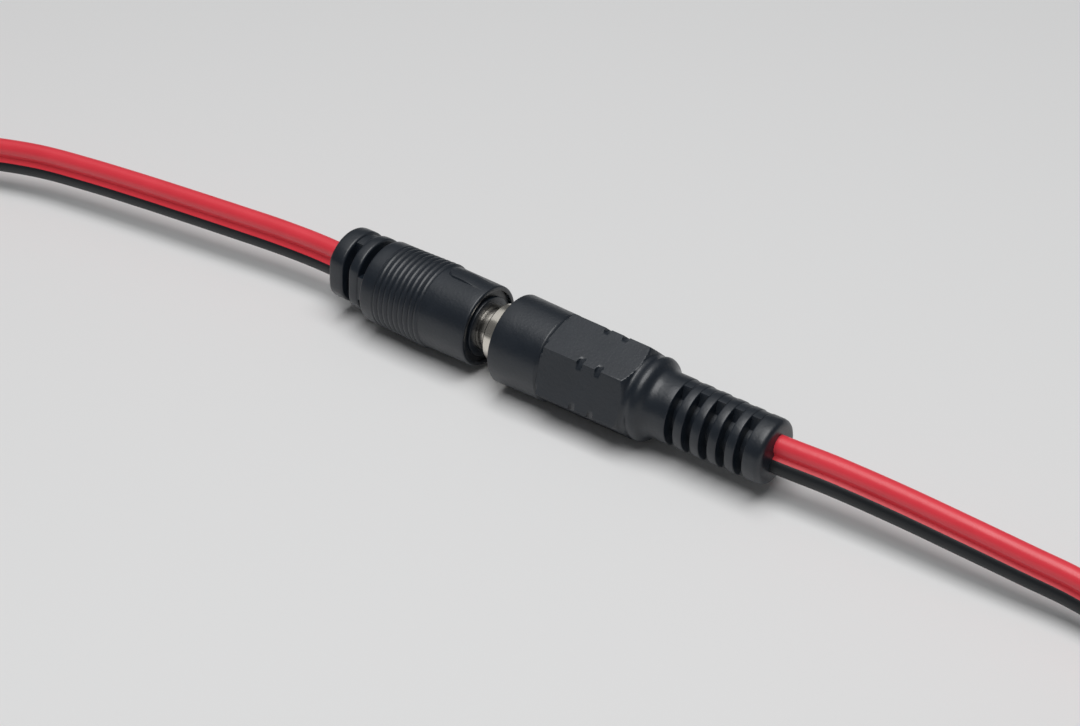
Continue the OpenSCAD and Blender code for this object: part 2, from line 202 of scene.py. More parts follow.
@dataclass(frozen=True)
class Finish:
    """A moulded, plated or drawn finish with its grain.

    Attributes:
        slot: Record slot that the finish belongs to.
        low: Darker tint of the surface.
        high: Lighter tint of the surface.
        roughness: Middle roughness.
        spread: Change of roughness over the surface.
        grain: Grain scale per metre.
        bump: Grain height in metres.
        metallic: 1 for metal.
        specular: Specular level.
        cloud: Scale per metre of the tint's change.
    """

    slot: Slot
    low: Color
    high: Color
    roughness: float = 0.45
    spread: float = 0.15
    grain: float = 3000.0
    bump: float = 0.00001
    metallic: float = 0.0
    specular: float = 0.5
    cloud: float = 220.0

    def build(self, grain_group: bpy.types.NodeTree, tint_group: bpy.types.NodeTree) -> bpy.types.Material:
        """Build the Blender material.

        Args:
            grain_group: Shared grain group.
            tint_group: Shared tint group.

        Returns:
            The material, named after its slot.
        """
        material = bpy.data.materials.new("finish_" + self.slot.value)
        material.use_nodes = True
        tree = material.node_tree
        shader = tree.nodes["Principled BSDF"]
        shader.inputs["Metallic"].default_value = self.metallic
        shader.inputs["Specular IOR Level"].default_value = self.specular
        grain = tree.nodes.new("ShaderNodeGroup")
        grain.node_tree = grain_group
        grain.inputs["Scale"].default_value = self.grain
        grain.inputs["Base Roughness"].default_value = self.roughness
        grain.inputs["Roughness Spread"].default_value = self.spread
        tint = tree.nodes.new("ShaderNodeGroup")
        tint.node_tree = tint_group
        tint.inputs["Scale"].default_value = self.cloud
        ramp = tree.nodes.new("ShaderNodeValToRGB")
        ramp.color_ramp.elements[0].color = (*self.low, 1.0)
        ramp.color_ramp.elements[1].color = (*self.high, 1.0)
        bump = tree.nodes.new("ShaderNodeBump")
        bump.inputs["Distance"].default_value = self.bump
        tree.links.new(tint.outputs["Mask"], ramp.inputs["Fac"])
        tree.links.new(ramp.outputs["Color"], shader.inputs["Base Color"])
        tree.links.new(grain.outputs["Roughness"], shader.inputs["Roughness"])
        tree.links.new(grain.outputs["Height"], bump.inputs["Height"])
        tree.links.new(bump.outputs["Normal"], shader.inputs["Normal"])
        return material


FINISHES: tuple[Finish, ...] = (
    Finish(
        Slot.BLACK_MOULD, (0.006, 0.010, 0.016), (0.010, 0.015, 0.023), 0.36, 0.16, 2600.0, 0.00003,
        specular=0.6,
    ),
    Finish(Slot.NICKEL, (0.70, 0.66, 0.59), (0.80, 0.76, 0.69), 0.2, 0.08, 1800.0, 0.000003, metallic=1.0),
    Finish(Slot.INSULATOR, (0.015, 0.015, 0.016), (0.024, 0.024, 0.026), 0.5),
    Finish(Slot.INNER_MOULD, (0.24, 0.25, 0.26), (0.32, 0.33, 0.34), 0.5),
    Finish(Slot.SOLDER, (0.46, 0.47, 0.49), (0.60, 0.61, 0.63), 0.35, 0.2, 1500.0, 0.00003, metallic=1.0),
    Finish(Slot.COPPER, (0.52, 0.24, 0.12), (0.68, 0.34, 0.19), 0.35, 0.2, metallic=1.0),
    Finish(Slot.SPRING_BRONZE, (0.52, 0.35, 0.16), (0.66, 0.46, 0.23), 0.3, 0.15, metallic=1.0),
    Finish(Slot.RED_PVC, (0.76, 0.040, 0.060), (0.84, 0.052, 0.076), 0.34, 0.12, 1500.0, 0.00002),
    Finish(
        Slot.BLACK_PVC, (0.006, 0.008, 0.010), (0.010, 0.012, 0.015), 0.42, 0.12, 1500.0, 0.00002,
        specular=0.4,
    ),
    Finish(Slot.TIE_BLACK, (0.016, 0.016, 0.018), (0.028, 0.028, 0.031), 0.5, 0.2),
    Finish(Slot.TINNED, (0.56, 0.56, 0.56), (0.70, 0.70, 0.69), 0.32, 0.2, 1800.0, 0.00001, metallic=1.0),
)


class Palette:
    """All materials of the object, by record slot."""

    def __init__(self, finishes: Iterable[Finish]) -> None:
        """Build every finish with the two shared groups."""
        grain, tint = make_grain_group(), make_tint_group()
        self._materials = {finish.slot: finish.build(grain, tint) for finish in finishes}

    def __getitem__(self, slot: Slot) -> bpy.types.Material:
        """Return the material of a slot."""
        return self._materials[slot]

    def dress_frame(self) -> None:
        """Give every CAD node the finish of its record slot."""
        slots = {row["node"]: Slot(row["material_slot"]) for row in frame["record"]["subparts"]}
        for name, node in frame["nodes"].items():
            node.data.materials.clear()
            node.data.materials.append(self[slots[name]])


# Mesh helpers


def new_piece(name: str, mesh: bpy.types.Mesh, materials: Sequence[bpy.types.Material]) -> bpy.types.Object:
    """Put a mesh in the scene as a piece.

    Args:
        name: Name of the piece.
        mesh: Its mesh, in the row frame.
        materials: Its materials, in the order of the faces' indices.

    Returns:
        The new object.
    """
    for material in materials:
        mesh.materials.append(material)
    piece = bpy.data.objects.new(name, mesh)
    bpy.context.scene.collection.objects.link(piece)
    return piece


def ring_mesh(
    name: str,
    rings: Sequence[Sequence[Vector]],
    loop: bool = False,
    face_material: Callable[[int], int] = lambda column: 0,
    sharp_deg: float = CRISP_DEG,
) -> bpy.types.Mesh:
    """Join closed rings of points into a tube with capped ends, or into a closed loop such as a band.

    Args:
        name: Name of the mesh.
        rings: Rings with the same number of points each, in order.
        loop: Whether the last ring joins the first.
        face_material: Material index of a column of faces.
        sharp_deg: Angle above which an edge stays sharp.

    Returns:
        The closed, smooth-shaded mesh.
    """
    work = bmesh.new()
    columns = len(rings[0])
    verts = [[work.verts.new(point) for point in ring] for ring in rings]
    for low, high in zip(verts, verts[1:] + verts[:1] if loop else verts[1:]):
        for k in range(columns):
            after = (k + 1) % columns
            face = work.faces.new((low[k], low[after], high[after], high[k]))
            face.material_index = face_material(k)
    for end in () if loop else (0, -1):
        centre = work.verts.new(sum(rings[end], Vector()) / columns)
        for k in range(columns):
            face = work.faces.new((verts[end][k], centre, verts[end][(k + 1) % columns]))
            face.material_index = face_material(k)
    bmesh.ops.recalc_face_normals(work, faces=work.faces)
    mesh = bpy.data.meshes.new(name)
    work.to_mesh(mesh)
    work.free()
    mesh.shade_smooth()
    mesh.set_sharp_from_angle(angle=math.radians(sharp_deg))
    return mesh


def joined(name: str, meshes: Sequence[bpy.types.Mesh]) -> bpy.types.Mesh:
    """Put several meshes into one and remove them.

    Args:
        name: Name of the new mesh.
        meshes: Meshes to join; their material indices are kept.

    Returns:
        The joined mesh.
    """
    work = bmesh.new()
    for mesh in meshes:
        work.from_mesh(mesh)
    whole = bpy.data.meshes.new(name)
    work.to_mesh(whole)
    work.free()
    for mesh in meshes:
        bpy.data.meshes.remove(mesh)
    return whole


def between(start: float, end: float, share: float) -> float:
    """Return the value at a share of the way from start to end."""
    return start + (end - start) * share


def heading(points: Sequence[Vector], k: int) -> Vector:
    """Return the direction of a line at one of its points."""
    return (points[min(k + 1, len(points) - 1)] - points[max(k - 1, 0)]).normalized()


def smooth_line(corners: Sequence[tuple[Vector, float]], spacing: float) -> list[tuple[Vector, float]]:
    """Run a smooth line through points, with a value that goes along.

    Args:
        corners: Points and values.
        spacing: Distance between the line's points.

    Returns:
        Points and values along the line.
    """
    line: list[tuple[Vector, float]] = []
    last = len(corners) - 1
    for k in range(last):
        p1, p2 = corners[k][0], corners[k + 1][0]
        p0 = corners[k - 1][0] if k else p1 * 2 - p2
        p3 = corners[k + 2][0] if k + 2 <= last else p2 * 2 - p1
        span = (p2 - p1).length
        m1 = ((p1 - p0) / max((p1 - p0).length, 1e-9) + (p2 - p1) / span).normalized() * span
        m2 = ((p2 - p1) / span + (p3 - p2) / max((p3 - p2).length, 1e-9)).normalized() * span
        steps = max(2, round(span / spacing))
        for s in range(steps):
            t = s / steps
            point = (
                p1 * (2 * t**3 - 3 * t**2 + 1) + m1 * (t**3 - 2 * t**2 + t)
                + p2 * (3 * t**2 - 2 * t**3) + m2 * (t**3 - t**2)
            )
            line.append((point, corners[k][1] + (corners[k + 1][1] - corners[k][1]) * t))
    line.append(corners[-1])
    return line


def ride_piece(piece: bpy.types.Object, half: Half, slot: Slot, *nodes: str) -> bpy.types.Object:
    """Let a piece ride on a half and stand for CAD nodes, which it hides.

    Args:
        piece: The piece.
        half: Body that carries it.
        slot: Record slot of its finish; not used.
        nodes: CAD nodes that it stands for.

    Returns:
        The piece.
    """
    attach(piece, half.value)
    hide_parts(*nodes)
    LOG.info("%s rides on %s for %s", piece.name, half.value, ", ".join(nodes))
    return piece


# Connector bodies


@dataclass(frozen=True)
class ConnectorAxis:
    """Where a connector lies: the axis that both share, and how this one is turned about it.

    Attributes:
        mouth_x: X of the socket's mouth.
        height: Height of the axis.
        lean_deg: Turn about the axis; the parting plane leans away from the camera by it.
    """

    mouth_x: float
    height: float
    lean_deg: float

    @classmethod
    def from_frame(cls, lean_deg: float, pin_tip: float = 0.8 * MM) -> "ConnectorAxis":
        """Read the axis from the socket's pin, whose tip lies pin_tip behind the mouth."""
        low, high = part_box("jack_pin")
        return cls(low.x - pin_tip, (low.z + high.z) / 2, lean_deg)

    def point(self, x: float, radius: float, theta: float) -> Vector:
        """Place a point by its distance from the mouth, its radius and its angle up from the camera side."""
        return self.place(x, -radius * math.cos(theta), radius * math.sin(theta))

    def place(self, x: float, y: float, z: float) -> Vector:
        """Place a point by its distance from the mouth and its offsets from the axis before the lean."""
        lean = math.radians(self.lean_deg)
        return Vector((
            self.mouth_x + x,
            y * math.cos(lean) + z * math.sin(lean),
            self.height - y * math.sin(lean) + z * math.cos(lean),
        ))


def circle(radius: float) -> Section:
    """Return a round section."""
    return lambda theta: radius


def hexagon(corner: float) -> Section:
    """Return a six-sided section with flats to the camera, by its corner radius."""

    def radius(theta: float) -> float:
        """Radius at an angle."""
        local = (theta + math.pi / 6) % (math.pi / 3) - math.pi / 6
        return corner * HEX_FLAT / math.cos(local)

    return radius


def flat_sided(radius: float, flat: float, away: float, rise: float, turn_deg: float = 5.0) -> Section:
    """Return a round section off the axis, with a flat to the camera and one on the far side.

    Args:
        radius: Radius of the round part.
        flat: Distance of the flats from the section's middle.
        away: Offset of the middle away from the camera side.
        rise: Offset of the middle up.
        turn_deg: Turn of the section back towards the camera.

    Returns:
        The section.
    """
    turn, blend = math.radians(turn_deg), 0.4 * MM

    def outline(theta: float) -> float:
        """Radius at an angle."""
        across, along = math.cos(theta + turn), math.sin(theta + turn)
        slope = away * across - rise * along
        arc = math.sqrt(slope * slope + radius * radius - away * away - rise * rise) - slope
        side = (flat - math.copysign(away, across)) / max(abs(across), 1e-6)
        return soft_min(side, arc, blend)

    return outline


def soft_min(a: float, b: float, blend: float) -> float:
    """Return the smaller of two lengths, rounded where they meet."""
    mix = max(blend - abs(a - b), 0.0) / blend
    return min(a, b) - mix * mix * blend * 0.25


def at_most(section: Section, radius: float) -> Section:
    """Return a section cut back to a radius."""
    return lambda theta: min(section(theta), radius)


def slotted(section: Section, core: float, half_web: float, upright: bool) -> Section:
    """Return the section inside a slot: a core with two webs out to the outer section.

    Args:
        section: Outer section.
        core: Radius of the core.
        half_web: Half the thickness of a web.
        upright: True where the webs stand in the parting plane, False where they lie across it.

    Returns:
        The section.
    """

    def radius(theta: float) -> float:
        """Radius at an angle."""
        across = abs(math.cos(theta) if upright else math.sin(theta))
        web = half_web / max(across, 1e-6)
        return max(core, min(section(theta), web))

    return radius


def shrunk(section: Section, amount: float) -> Section:
    """Return a section set back by an amount."""
    return lambda theta: section(theta) - amount


def quarter_round(radius: float, shares: Sequence[float]) -> list[tuple[float, float]]:
    """Follow a rounded edge from its face to its side.

    Args:
        radius: Radius of the edge; 0 for a sharp one.
        shares: Shares of the quarter turn at which a point is wanted.

    Returns:
        For each point, how far it lies behind the face and how far it is set back from the side.
    """
    if radius <= 0.0:
        return [(0.0, 0.0)]
    bends = [math.pi / 2 * share for share in shares]
    return [(radius * (1 - math.cos(bend)), radius * (1 - math.sin(bend))) for bend in bends]


def even(steps: int) -> list[float]:
    """Return even shares from 0 to 1."""
    return [k / steps for k in range(steps + 1)]


def land(x0: float, x1: float, section: Section, front: float, back: float, steps: int = 2) -> list[Station]:
    """Make the stations of a land with rounded front and back edges.

    Args:
        x0: Where the land starts.
        x1: Where it ends; smaller than x0 for a body drawn towards -X.
        section: Its section.
        front: Edge radius at x0.
        back: Edge radius at x1.
        steps: Spans between the two roundings.

    Returns:
        The stations in order.
    """
    way, turns = 1.0 if x1 > x0 else -1.0, even(4)
    stations = [(x0 + way * along, shrunk(section, inset)) for along, inset in quarter_round(front, turns)]
    for share in even(steps)[1:-1]:
        stations.append((x0 + way * front + (x1 - x0 - way * (front + back)) * share, section))
    for along, inset in reversed(quarter_round(back, turns)):
        stations.append((x1 - way * along, shrunk(section, inset)))
    return stations


def turned(points: Sequence[tuple[float, float]]) -> list[Station]:
    """Make round stations from (x, radius) points."""
    return [(x, circle(radius)) for x, radius in points]


@dataclass
class Moulding:
    """A moulded connector body, drawn as sections along its axis.

    Attributes:
        axis: Axis that it lies on.
        columns: Points round each section.
    """

    axis: ConnectorAxis
    columns: int = 288

    def stations(self) -> list[Station]:
        """Return the stations of the body, from the mouth's inside to the lead's exit."""
        raise NotImplementedError

    def webs(self) -> Sequence[float]:
        """Return the angles from the webs' middle at which a web's edges lie, in radians."""
        return ()

    def angles(self) -> list[float]:
        """Return the angles round the body, with a pair at each web edge."""
        even = [2 * math.pi * k / self.columns for k in range(self.columns)]
        extra = [
            (middle + side * edge) % (2 * math.pi)
            for edge in self.webs()
            for middle in (0.0, math.pi / 2, math.pi, 3 * math.pi / 2)
            for side in (-1, 1)
        ]
        merged = sorted(even + extra)
        return [a for k, a in enumerate(merged) if k == 0 or a - merged[k - 1] > 1e-4]

    def build(self, name: str) -> bpy.types.Mesh:
        """Build the body's mesh.

        Args:
            name: Name of the mesh.

        Returns:
            The mesh in the row frame.
        """
        angles = self.angles()
        rings = [[self.axis.point(x, section(a), a) for a in angles] for x, section in self.stations()]
        return ring_mesh(name, rings)

    def exit_face(self, x: float) -> list[Station]:
        """Return the stations of the flat end that the lead comes out of."""
        return turned([(x, 2.4 * MM), (x, 0.4 * MM)])


@dataclass
class SocketMoulding(Moulding):
    """The socket's body: round nose, six-sided grip, ringed shoulder and slotted tail."""

    bore: float = 3.62 * MM
    bore_depth: float = 3.0 * MM
    bore_edge: float = 0.1 * MM
    nose: float = 5.55 * MM
    nose_rear: float = 5.42 * MM
    nose_end: float = 6.8 * MM
    nose_edge: float = 0.18 * MM
    nose_blend: float = 0.4 * MM
    grip_end: float = 18.3 * MM
    grip_corner: float = 5.95 * MM
    grip_rear_corner: float = 5.84 * MM
    nick_width: float = 0.85 * MM
    nick_depth: float = 0.34 * MM
    nicks: Sequence[float] = (11.8 * MM, 14.3 * MM)
    tail: float = 4.02 * MM
    tail_start: float = 21.7 * MM
    tail_end: float = 36.05 * MM
    tail_taper: float = 0.025 * MM
    slot_start: float = 23.75 * MM
    slot_pitch: float = 2.25 * MM
    slot_width: float = 1.1 * MM
    slot_count: int = 5
    ring_edge: float = 0.16 * MM
    end_edge: float = 0.75 * MM
    end_inset: float = 0.12 * MM
    core: float = 2.35 * MM
    half_web: float = 1.25 * MM
    web_set_back: float = 0.07 * MM

    def webs(self) -> Sequence[float]:
        """Return the edges of the tail's two webs at the outside and at the core."""
        return math.asin(self.half_web / self.tail), math.asin(self.half_web / self.core)

    def grip(self, x: float, cap: float = math.inf) -> Station:
        """Return a station of the grip, narrower towards the tail, with its corners cut back to a cap."""
        share = (x - self.nose_end) / (self.grip_end - self.nose_end)
        return x, at_most(hexagon(between(self.grip_corner, self.grip_rear_corner, share)), cap)

    def grip_stations(self) -> list[Station]:
        """Return the stations of the grip: from the nose's rear edge, past the nicked corners, to its end."""
        flat = self.grip_corner * HEX_FLAT
        found: list[Station] = []
        for share in (0.0, 0.15, 0.4, 0.7, 1.0):
            x = self.nose_end + (share - 0.6) * self.nose_blend
            found.append((x, circle(between(self.nose_rear, flat, share**1.5))))
        edge = found[-1][0]
        found.append(self.grip(edge + 0.001 * MM, self.nose_rear))
        found += [self.grip(edge + 0.25 * MM), self.grip(edge + 0.32 * MM)]
        into_nick = ((-0.08, 0.0), (0.0, 0.0), (0.08, 0.7), (0.2, 1.0))
        nick = (*into_nick, (0.8, 1.0), (0.92, 0.7), (1.0, 0.0), (1.08, 0.0))
        for start in self.nicks:
            for along, deep in nick:
                cap = self.grip_rear_corner - self.nick_depth * deep if deep else math.inf
                found.append(self.grip(start + along * self.nick_width, cap))
        flat = self.grip_rear_corner * HEX_FLAT
        for share in (0.0, 0.12, 0.3, 0.5, 0.7, 0.88, 1.0):
            corner = between(self.grip_rear_corner, flat, share**1.4)
            found.append(self.grip(self.grip_end - (0.45 - 0.6 * share) * MM, corner))
        return found

    def shoulder_stations(self) -> list[Station]:
        """Return the stations of the shoulder: a shallow groove, a soft ring and the fall to the tail."""
        groove = ((0.2, -0.03), (0.3, -0.1), (0.42, -0.13), (0.65, -0.13), (0.85, -0.07))
        ring = ((1.1, 0.01), (1.3, 0.05), (1.5, 0.04), (1.75, -0.04), (2.0, -0.2), (2.2, -0.42))
        fall = ((2.4, 0.36), (2.65, 0.17), (2.95, 0.06), (3.3, 0.01))
        found: list[Station] = []
        for base, profile in ((self.grip_rear_corner * HEX_FLAT, groove + ring), (self.tail, fall)):
            found += turned([(self.grip_end + along * MM, base + rise * MM) for along, rise in profile])
        return found

    def stations(self) -> list[Station]:
        """Return the stations from the inside of the mouth to the lead's exit."""
        mouth = ((self.bore_depth, self.bore), (self.bore_edge, self.bore), (0.0, self.bore + self.bore_edge))
        found = turned(mouth)
        for along, inset in quarter_round(self.nose_edge, (0.0, 0.3, 0.6, 0.85, 1.0)):
            found.append((along, circle(self.nose - inset)))
        for share in (0.25, 0.5, 0.75, 0.97):
            found.append((self.nose_end * share, circle(between(self.nose, self.nose_rear, share))))
        found += self.grip_stations()
        found += self.shoulder_stations()
        start = self.tail_start
        for k in range(self.slot_count):
            x = self.slot_start + k * self.slot_pitch
            outer = circle(self.tail - self.tail_taper * k)
            web = shrunk(outer, self.web_set_back)
            found += land(start, x, outer, self.ring_edge if k else 0.0, self.ring_edge)
            found += land(x, x + self.slot_width, slotted(web, self.core, self.half_web, True), 0.0, 0.0)
            start = x + self.slot_width
        end_ring = circle(self.tail - self.end_inset)
        found += land(start, self.tail_end, end_ring, self.ring_edge, self.end_edge, 3)
        return found + self.exit_face(self.tail_end)


@dataclass
class PlugMoulding(Moulding):
    """The plug's body: recessed face, key, fine rings and two flat-sided rings between crossed slots."""

    face: float = -4.0 * MM
    face_edge: float = 0.25 * MM
    radius: float = 5.4 * MM
    band: float = 5.18 * MM
    band_front: float = 5.1 * MM
    recess: float = 4.5 * MM
    recess_depth: float = 0.44 * MM
    bore: float = 3.08 * MM
    boss: float = 3.75 * MM
    boss_height: float = 0.05 * MM
    body_length: float = 15.9 * MM
    body_inset: float = 0.18 * MM
    body_edge: float = 0.3 * MM
    ring_start: float = 6.4 * MM
    ring_count: int = 9
    ring_pitch: float = 0.8 * MM
    ring_depth: float = 0.22 * MM
    ring_taper: float = 0.02 * MM
    front_ring: float = 4.7 * MM
    rear_ring: float = 4.55 * MM
    core: float = 2.6 * MM
    half_web: float = 1.6 * MM
    half_side_web: float = 1.6 * MM
    web_set_back: float = 0.25 * MM
    side_web_set_back: float = 0.05 * MM
    key_half_width: float = 1.1 * MM
    key_height: float = 0.2 * MM
    key_edge: float = 0.12 * MM
    key_start: float = 1.2 * MM
    key_rise: float = 2.4 * MM
    key_end: float = 6.1 * MM

    def webs(self) -> Sequence[float]:
        """Return the edges of the webs and of the key."""
        return (
            math.asin(self.half_web / self.front_ring),
            math.asin(self.half_web / self.core),
            math.asin(self.half_side_web / self.rear_ring),
            math.asin(self.key_half_width / self.radius),
            math.asin((self.key_half_width + self.key_edge) / self.radius),
        )

    def keyed(self, radius: float, share: float, half_width: float) -> Section:
        """Return a round section with the raised key on top.

        Args:
            radius: Radius of the section.
            share: Share of the key's full height.
            half_width: Half the key's width here.

        Returns:
            The section.
        """
        foot = half_width + self.key_edge

        def outline(theta: float) -> float:
            """Radius at an angle."""
            across = abs(math.cos(theta)) * radius
            if math.sin(theta) < 0 or across > foot:
                return radius
            edge = min(1.0, (foot - across) / self.key_edge)
            return radius + self.key_height * share * math.sin(edge * math.pi / 2)

        return outline

    def face_stations(self) -> list[Station]:
        """Return the stations of the boss, the recess round it and the rounded front edge."""
        floor, boss = self.face - self.recess_depth, self.face + self.boss_height
        edge, bevel, fine = 0.15 * MM, 0.05 * MM, 0.04 * MM
        found = turned([
            (boss - fine, self.bore),
            (boss, self.bore + fine),
            (boss, self.boss - edge),
            (boss - bevel, self.boss - bevel),
            (boss - edge, self.boss),
            (floor, self.boss),
            (floor, self.recess),
            (self.face - edge, self.recess),
            (self.face - fine, self.recess + fine),
            (self.face, self.recess + edge),
        ])
        for along, inset in quarter_round(self.face_edge, even(6)):
            found.append((self.face - along, circle(self.band_front - inset)))
        return found

    def stations(self) -> list[Station]:
        """Return the stations from the recess in the face to the lead's exit."""
        found = self.face_stations()
        front, rear, half = self.face - self.key_start, self.face - self.key_end, self.key_half_width
        for share in even(4):
            x = front - self.key_rise * share
            found.append((x, self.keyed(self.band_at(x), share, half)))
        for turn in (0, 15, 30, 45, 60, 75, 84, 90):
            bend = math.radians(turn)
            x = rear + half * (1 - math.sin(bend))
            found.append((x, self.keyed(self.band_at(x), 1.0, half * math.cos(bend))))
        found.append((rear - 0.1 * MM, circle(self.band)))
        found += self.ring_stations()
        body_start, body_end = found[-1][0] - 0.15 * MM, self.face - self.body_length
        found += land(body_start, body_end, circle(self.radius - self.body_inset), 0.0, self.body_edge)
        return found + self.collar_stations(body_end)

    def band_at(self, x: float) -> float:
        """Return the plain band's radius at a distance from the mouth."""
        share = (self.face - x) / self.ring_start
        return between(self.band_front, self.band, min(1.0, max(0.0, share)))

    def ring_stations(self) -> list[Station]:
        """Return the stations of the fine rings, round beads side by side."""
        found: list[Station] = []
        first = 0.42
        for k in range(self.ring_count):
            crest = self.radius - self.ring_taper * k
            start = self.face - self.ring_start - (k + first) * self.ring_pitch
            for share in even(10)[:-1]:
                depth = self.ring_depth * (1.0 - math.sin(math.pi * share) ** 0.9)
                found.append((start - share * self.ring_pitch, circle(crest - depth)))
        return found

    def collar_stations(self, start: float) -> list[Station]:
        """Return the stations of the two rings behind the body, with the crossed slots in front of each.

        Args:
            start: Where the body ends.

        Returns:
            The stations.
        """
        front = flat_sided(self.front_ring, self.front_ring - 0.4 * MM, 0.1 * MM, 0.35 * MM)
        rear = flat_sided(self.rear_ring, self.rear_ring - 0.35 * MM, 0.2 * MM, 0.45 * MM)
        side_webs = slotted(shrunk(front, self.side_web_set_back), self.core, self.half_side_web, False)
        upright_webs = slotted(shrunk(rear, self.web_set_back), self.core, self.half_web, True)
        found: list[Station] = []
        for length, section, front_edge, rear_edge in (
            (1.1 * MM, side_webs, 0.0, 0.0),
            (1.5 * MM, front, 0.32 * MM, 0.32 * MM),
            (1.15 * MM, upright_webs, 0.0, 0.0),
            (2.2 * MM, rear, 0.35 * MM, 0.45 * MM),
        ):
            found += land(start, start - length, section, front_edge, rear_edge)
            start -= length
        return found + self.exit_face(start)


# Metal sleeves


@dataclass
class MetalSleeve:
    """A turned sleeve with a flat solder lug at its rear.

    Attributes:
        axis: Axis that it lies on.
        columns: Steps round the sleeve.
        lug_half_width: Half the width of the lug.
        lug_top: Distance of the lug's upper side below the axis.
        lug_overlap: Length of the lug inside the sleeve.
        lug_inset: Distance of the lug's lower side inside the sleeve's outside.
    """

    axis: ConnectorAxis
    columns: int = 144
    lug_half_width: float = 0.6 * MM
    lug_top: float = 1.73 * MM
    lug_overlap: float = 0.4 * MM
    lug_inset: float = 0.1 * MM

    def turn(self, profile: Profile, half_gap: float = 0.0) -> bpy.types.Mesh:
        """Turn a closed profile about the axis.

        Args:
            profile: Corners as distance from the mouth and radius.
            half_gap: Half the angle that is left open on top, in radians.

        Returns:
            The closed mesh.
        """
        span = 2 * (math.pi - half_gap)
        count = self.columns + 1 if half_gap else self.columns
        angles = [math.pi / 2 + half_gap + span * k / self.columns for k in range(count)]
        rings = [[self.axis.point(x, radius, a) for x, radius in profile] for a in angles]
        return ring_mesh("ring", rings, loop=not half_gap, sharp_deg=CRISP_DEG if half_gap else ROUNDED_DEG)

    def lug(self, x0: float, x1: float, low: float) -> bpy.types.Mesh:
        """Return the solder lug.

        Args:
            x0: One end of the lug.
            x1: Its other end.
            low: Distance of its lower side below the axis.

        Returns:
            The closed mesh.
        """
        half = self.lug_half_width
        corners = ((-half, -low), (half, -low), (half, -self.lug_top), (-half, -self.lug_top))
        return ring_mesh("lug", [[self.axis.place(x, y, z) for y, z in corners] for x in (x0, x1)])

    def parts(self) -> list[bpy.types.Mesh]:
        """Return the meshes that make up the sleeve."""
        raise NotImplementedError

    def build(self, name: str) -> bpy.types.Mesh:
        """Build the sleeve as one mesh in the row frame."""
        return joined(name, self.parts())


@dataclass
class SocketSleeve(MetalSleeve):
    """The socket's sleeve: a lip in front of the mouth and an opening for the spring leaf."""

    bore: float = 2.81 * MM
    radius: float = 3.6 * MM
    lip: float = 2.3 * MM
    lip_edge: float = 0.22 * MM
    lead_in: float = 0.3 * MM
    rear: float = 9.6 * MM
    lug_end: float = 15.0 * MM
    leaf_start: float = 1.2 * MM
    leaf_end: float = 6.6 * MM
    leaf_half_width: float = 0.9 * MM

    def parts(self) -> list[bpy.types.Mesh]:
        """Return the lip, the open middle, the rear and the lug."""
        front = [(self.leaf_start, self.bore), (self.lead_in - self.lip, self.bore)]
        for along, inset in quarter_round(self.lip_edge, even(5)):
            front.append((along - self.lip, self.radius - inset))
        front.append((self.leaf_start, self.radius))
        half_gap = math.asin(self.leaf_half_width / self.radius)
        return [
            self.turn(front),
            self.turn(self.wall(self.leaf_start, self.leaf_end), half_gap),
            self.turn(self.wall(self.leaf_end, self.rear)),
            self.lug(self.rear - self.lug_overlap, self.lug_end, self.radius - self.lug_inset),
        ]

    def wall(self, x0: float, x1: float) -> Profile:
        """Return the profile of a plain stretch of the wall."""
        return ((x0, self.bore), (x0, self.radius), (x1, self.radius), (x1, self.bore))


@dataclass
class PlugSleeve(MetalSleeve):
    """The plug's sleeve: a round tip, a tapered root and a collar inside the body."""

    bore: float = 2.35 * MM
    radius: float = 2.75 * MM
    tip: float = 6.6 * MM
    tip_edge: float = 0.3 * MM
    rear: float = -10.0 * MM
    lug_end: float = -14.0 * MM
    collar: float = 3.7 * MM
    collar_rear: float = -6.1 * MM
    collar_front: float = -4.5 * MM
    root_rear: float = -3.95 * MM
    root_front: float = -2.6 * MM
    root_rise: float = 0.11 * MM

    def parts(self) -> list[bpy.types.Mesh]:
        """Return the turned sleeve and the lug."""
        root = self.radius + self.root_rise
        profile = [
            (self.rear, self.bore),
            (self.rear, self.radius),
            (self.collar_rear, self.radius),
            (self.collar_rear, self.collar),
            (self.collar_front, self.collar),
            (self.collar_front, root),
            (self.root_rear, root),
            (self.root_front, self.radius),
        ]
        for inset, along in quarter_round(self.tip_edge, even(5)):
            profile.append((self.tip - along, self.radius - inset))
        profile.append((self.tip, self.bore))
        lug = self.lug(self.rear + self.lug_overlap, self.lug_end, self.radius - self.lug_inset)
        return [self.turn(profile), lug]


# Twin leads


